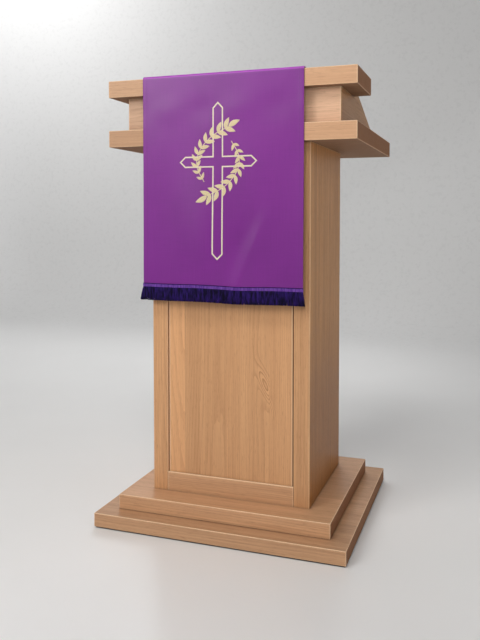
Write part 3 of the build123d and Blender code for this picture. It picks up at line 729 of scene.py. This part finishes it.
def make_fringe(material):
    """Three rows of twisted threads that hang from the braid and stray a little at their ends."""
    soup = Soup()
    luck = random.Random(11)
    top, foot = CLOTH_FOOT - 3.0 * MM, fringe_low[2]
    left, right = LEFT + 0.6 * MM, RIGHT - 0.6 * MM
    flare_left, flare_right = left - fringe_low[0], fringe_high[0] - right
    for pitch, depth in FRINGE_ROWS:
        count = int((right - left) / pitch)
        for i in range(count + 1):
            share = i / count
            x0 = left + (right - left) * share
            flare = -flare_left * (1 - share) ** 8 + flare_right * share ** 8
            stray, back = luck.gauss(0.0, 0.8 * MM), luck.gauss(0.0, 0.35 * MM)
            tall = (top - foot) * (1.0 - 0.05 * luck.random() ** 2)
            wobble, thick = luck.uniform(0.0, 6.28), luck.uniform(0.78, 1.0) * MM
            base = cloth_point(x0, top, CLOTH_T / 2 + depth)
            line, radii = [], []
            for k in range(THREAD_STEPS + 1):
                d = k / THREAD_STEPS
                sway = stray * d * d + flare * d ** 0.8 + 0.35 * MM * math.sin(5.0 * d + wobble) * d
                line.append(Vector((x0 + sway, base.y - back * d, base.z - tall * d)))
                radii.append(thick * (1.0 + 0.14 * math.sin(9 * d + wobble) - 0.15 * d ** 6))
            soup.tube(line, radii, sides=5)
    return soup.piece("fall_fringe_threads", material)


# ---------------------------------------------------------------------------------------------
# Embroidery: a plain Latin cross in outline, with two leafy sprays
# ---------------------------------------------------------------------------------------------
MOTIF_X, MOTIF_Z = FALL_MIDDLE - 7 * MM, 0.933
CROSS_UP, CROSS_DOWN, CROSS_ARM = 0.146, 0.243, 0.101
CROSS_HALF = 0.0125
CROSS_POINT = 0.013  # how far each end comes to its point
OUTLINE_W = 3.8 * MM
# A spray's stem in the motif's plane, from its foot to its tip. The other spray is this one turned half round
STEM = ((-0.036, -0.050), (-0.056, -0.012), (-0.050, 0.026), (-0.018, 0.062), (0.028, 0.086))
STEM_W = 2.4 * MM
LEAF_ANGLE = math.radians(42)
LEAF_SHAPE = 0.42  # width over length
LEAF_HEIGHT = 1.1 * MM
TIP_LENGTH, TIP_WIDTH = 0.034, 0.014
BAND_STEPS, BAND_ACROSS = 7, 6  # faces along each run of a band, and across it
LEAF_STEPS, LEAF_ACROSS = 12, 5  # faces along a leaf, and across each half


def on_cloth(p, out):
    """A point of the motif's own plane, laid on the cloth."""
    return cloth_point(MOTIF_X + p[0], MOTIF_Z + p[1], CLOTH_T / 2 + out)


def stitched_band(soup, corners, width, height, closed=True):
    """A raised satin band along a polyline in the motif's plane, with mitred corners."""
    count = len(corners)
    line, leans = [], []
    for i in range(count):
        here = Vector(corners[i])
        before = Vector(corners[i - 1]) if closed or i else here
        after = Vector(corners[(i + 1) % count]) if closed or i < count - 1 else here
        ways = [(b - a).normalized() for a, b in ((before, here), (here, after)) if (b - a).length > 0]
        sides = [Vector((-w.y, w.x)) for w in ways]
        lean = sum(sides, Vector((0.0, 0.0)))
        lean /= max(lean.length_squared / 2, 0.3) if len(sides) == 2 else 1.0
        line.append(here)
        leans.append(lean)
    rows, walked = [], 0.0
    for i in range(count if closed else count - 1):
        a, b = line[i], line[(i + 1) % count]
        lean_a, lean_b = leans[i], leans[(i + 1) % count]
        for k in range(BAND_STEPS):
            t = k / BAND_STEPS
            rows.append((a.lerp(b, t), lean_a.lerp(lean_b, t), walked + t * (b - a).length))
        walked += (b - a).length
    end = 0 if closed else count - 1
    rows.append((line[end], leans[end], walked))
    across = [k / BAND_ACROSS * 2 - 1 for k in range(BAND_ACROSS + 1)]
    ups = [height * math.sqrt(max(0.0, 1 - s * s)) - 0.15 * MM for s in across]
    grid = [[on_cloth(centre + lean * (s * width / 2), up) for s, up in zip(across, ups)]
            for centre, lean, _ in rows]
    soup.grid(grid, [[(along, s * width / 2) for s in across] for _, _, along in rows])


def leaf(soup, foot, way, length, width):
    """A leaf in two halves of slanting satin stitches, with a groove between them."""
    way = Vector(way).normalized()
    side = Vector((-way.y, way.x))
    for half in (-1, 1):
        grid, uv = [], []
        for i in range(LEAF_STEPS + 1):
            t = i / LEAF_STEPS
            reach = width / 2 * math.sin(math.pi * t ** 0.82) ** 0.9 if 0 < t < 1 else 0.0
            spine = Vector(foot) + way * (t * length) + side * (0.10 * length * math.sin(math.pi * t) * 0.4)
            row, uv_row = [], []
            for k in range(LEAF_ACROSS + 1):
                s = k / LEAF_ACROSS
                up = LEAF_HEIGHT * math.sin(math.pi * min(0.12 + 0.88 * s, 1.0)) ** 0.6 if reach else 0.0
                row.append(on_cloth(spine + side * (half * s * reach), up - 0.1 * MM))
                uv_row.append((t * length + s * reach, s * reach))
            grid.append(row[::half])
            uv.append(uv_row[::half])
        soup.grid(grid, uv)


def smooth_line(points, steps):
    """A smooth line through control points (Catmull-Rom)."""
    pts = [Vector(p) for p in points]
    pts = [2 * pts[0] - pts[1]] + pts + [2 * pts[-1] - pts[-2]]
    out = []
    for a, b, c, d in zip(pts, pts[1:], pts[2:], pts[3:]):
        for k in range(steps):
            t = k / steps
            out.append(0.5 * (2 * b + (c - a) * t + (2 * a - 5 * b + 4 * c - d) * t * t
                              + (3 * b - a - 3 * c + d) * t ** 3))
    out.append(pts[-2])
    return out


def cross_corners():
    """The outline of a Latin cross with pointed ends."""
    h, up, down, arm, point = CROSS_HALF, CROSS_UP, CROSS_DOWN, CROSS_ARM, CROSS_POINT
    return [
        (0.0, up), (h, up - point), (h, h), (arm - point, h), (arm, 0.0), (arm - point, -h), (h, -h),
        (h, point - down), (0.0, -down), (-h, point - down), (-h, -h), (point - arm, -h), (-arm, 0.0),
        (point - arm, h), (-h, h), (-h, up - point),
    ]


def make_embroidery(cream, gold):
    outline = Soup()
    stitched_band(outline, cross_corners(), OUTLINE_W, 1.0 * MM)

    sprays = Soup()
    stem = smooth_line(STEM, 5)
    for turn in (1, -1):
        path = [p * turn for p in stem]
        stitched_band(sprays, path, STEM_W, 0.8 * MM, closed=False)
        for i in range(1, len(path) - 1, 2):
            ahead = (path[i + 1] - path[i - 1]).normalized()
            size = 0.017 + 0.014 * i / len(path)
            for angle in (-LEAF_ANGLE, LEAF_ANGLE):
                way = (ahead.x * math.cos(angle) - ahead.y * math.sin(angle),
                       ahead.x * math.sin(angle) + ahead.y * math.cos(angle))
                leaf(sprays, path[i], way, size, size * LEAF_SHAPE)
        leaf(sprays, path[-1], path[-1] - path[-2], TIP_LENGTH, TIP_WIDTH)
    return [outline.piece("embroidery_cross", cream), sprays.piece("embroidery_sprays", gold)]


def make_fall():
    cloth, length = make_cloth(cloth_material())
    indigo = thread_material("fringe_thread", (0.003, 0.001, 0.014, 1.0), (0.030, 0.010, 0.150, 1.0),
                             190.0, 1.9 * MM)
    violet = thread_material("braid_thread", (0.120, 0.040, 0.300, 1.0), (0.260, 0.105, 0.520, 1.0),
                             350.0, 1.6 * MM)
    braid, cord = make_braid(violet, indigo)
    fringe = make_fringe(indigo)
    cream = stitch_material("stitch_cream", (0.84, 0.74, 0.50, 1.0), (0.97, 0.91, 0.72, 1.0))
    gold = stitch_material("stitch_gold", (0.68, 0.54, 0.28, 1.0), (0.94, 0.82, 0.54, 1.0))
    motifs = make_embroidery(cream, gold)
    for piece in [cloth, braid, cord, fringe, *motifs]:
        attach(piece, "fall")
    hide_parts("fall_drop", "fall_top", "fall_hem")
    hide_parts("fall_braid")
    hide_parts("fall_braid")
    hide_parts("fall_fringe")


# ---------------------------------------------------------------------------------------------
# Studio
# ---------------------------------------------------------------------------------------------
WARM, WHITE = (1.0, 0.99, 0.97), (1.0, 1.0, 1.0)
AIM = (0.0, 0.0, 0.75)
# Round area lights: name, place, what each points at, diameter, watts, colour
LIGHTS = (
    ("key", (-1.40, -3.10, 2.70), AIM, 1.1, 32.0, WARM),
    ("gloss", (-1.90, -2.80, 1.90), AIM, 0.6, 19.0, WARM),
    ("top", (0.25, -1.75, 3.05), AIM, 0.7, 23.0, WARM),
    ("front", (1.00, -3.30, 1.60), AIM, 1.2, 20.0, WARM),
    ("right_fill", (2.4, -0.9, 2.2), AIM, 1.4, 5.5, WHITE),
    ("back_fill", (-0.9, 2.4, 2.2), AIM, 1.6, 20.0, WHITE),
    ("wall_wash", (-3.0, 1.7, 3.3), (-2.7, 3.3, 2.1), 1.0, 34.0, WHITE),
)
# The surroundings' strength as light from the left and from the right, and as the camera sees them
WORLD_LEFT, WORLD_RIGHT, WORLD_SEEN = 0.16, 0.04, 0.62
SWEEP_NEAR, SWEEP_WALL, SWEEP_TOP, SWEEP_HALF = -7.0, 3.3, 4.5, 9.0
SWEEP_RADIUS, SWEEP_STEPS = 0.55, 12

CAMERA_PLACE = (0.6344, -1.8991, 0.793)
CAMERA_DOWN, CAMERA_TURN = 2.41, 19.23
CAMERA_LENS, CAMERA_SHIFT = 40.39, (-0.0074, -0.1123)


def area_light(name, place, target, size, power, colour):
    data = bpy.data.lights.new(name, "AREA")
    data.shape = "DISK"
    data.size = size
    data.energy = power
    data.color = colour
    lamp = bpy.data.objects.new(name, data)
    lamp.location = place
    lamp.rotation_euler = (Vector(target) - Vector(place)).to_track_quat("-Z", "Y").to_euler()
    bpy.context.scene.collection.objects.link(lamp)


def sweep_profile():
    """(y, z) of a floor that turns up into a wall behind the pulpit."""
    start, radius = SWEEP_WALL - SWEEP_RADIUS, SWEEP_RADIUS
    profile = [(SWEEP_NEAR, 0.0), (start, 0.0)]
    for k in range(1, SWEEP_STEPS + 1):
        a = math.pi / 2 * k / SWEEP_STEPS
        profile.append((start + radius * math.sin(a), radius - radius * math.cos(a)))
    profile.append((SWEEP_WALL, SWEEP_TOP))
    return profile


def make_world():
    """Dim light all round, more of it from the left. The camera sees it pale."""
    world = bpy.data.worlds.new("studio")
    world.use_nodes = True
    nodes, links = world.node_tree.nodes, world.node_tree.links
    backdrop = nodes["Background"]
    place = nodes.new("ShaderNodeTexCoord")
    parts = nodes.new("ShaderNodeSeparateXYZ")
    links.new(place.outputs["Generated"], parts.inputs[0])
    ramp = nodes.new("ShaderNodeMapRange")
    ramp.interpolation_type = "SMOOTHSTEP"
    links.new(parts.outputs[0], ramp.inputs[0])
    for socket, value in zip(ramp.inputs[1:5], (-0.75, 0.75, WORLD_LEFT, WORLD_RIGHT)):
        socket.default_value = value
    seen = nodes.new("ShaderNodeLightPath")
    pale = nodes.new("ShaderNodeMix")
    links.new(seen.outputs["Is Camera Ray"], pale.inputs[0])
    links.new(ramp.outputs[0], pale.inputs[2])
    pale.inputs[3].default_value = WORLD_SEEN
    links.new(pale.outputs[0], backdrop.inputs[1])
    backdrop.inputs[0].default_value = (1.0, 0.995, 0.985, 1.0)
    bpy.context.scene.world = world


def make_studio():
    soup = Soup()
    soup.grid([[(x, y, z) for x in (-SWEEP_HALF, SWEEP_HALF)] for y, z in sweep_profile()])
    sweep = soup.piece("studio_sweep", floor_material())
    make_world()
    for light in LIGHTS:
        area_light(*light)


def make_camera():
    data = bpy.data.cameras.new("camera")
    data.sensor_width = 36.0
    data.lens = CAMERA_LENS
    data.shift_x, data.shift_y = CAMERA_SHIFT
    data.clip_end = 100.0
    camera = bpy.data.objects.new("camera", data)
    camera.location = CAMERA_PLACE
    camera.rotation_euler = (math.radians(90 - CAMERA_DOWN), 0.0, math.radians(CAMERA_TURN))
    bpy.context.scene.collection.objects.link(camera)
    bpy.context.scene.camera = camera


paint_cad()
make_fall()
make_studio()
make_camera()
bpy.context.scene.view_settings.view_transform = "Standard"
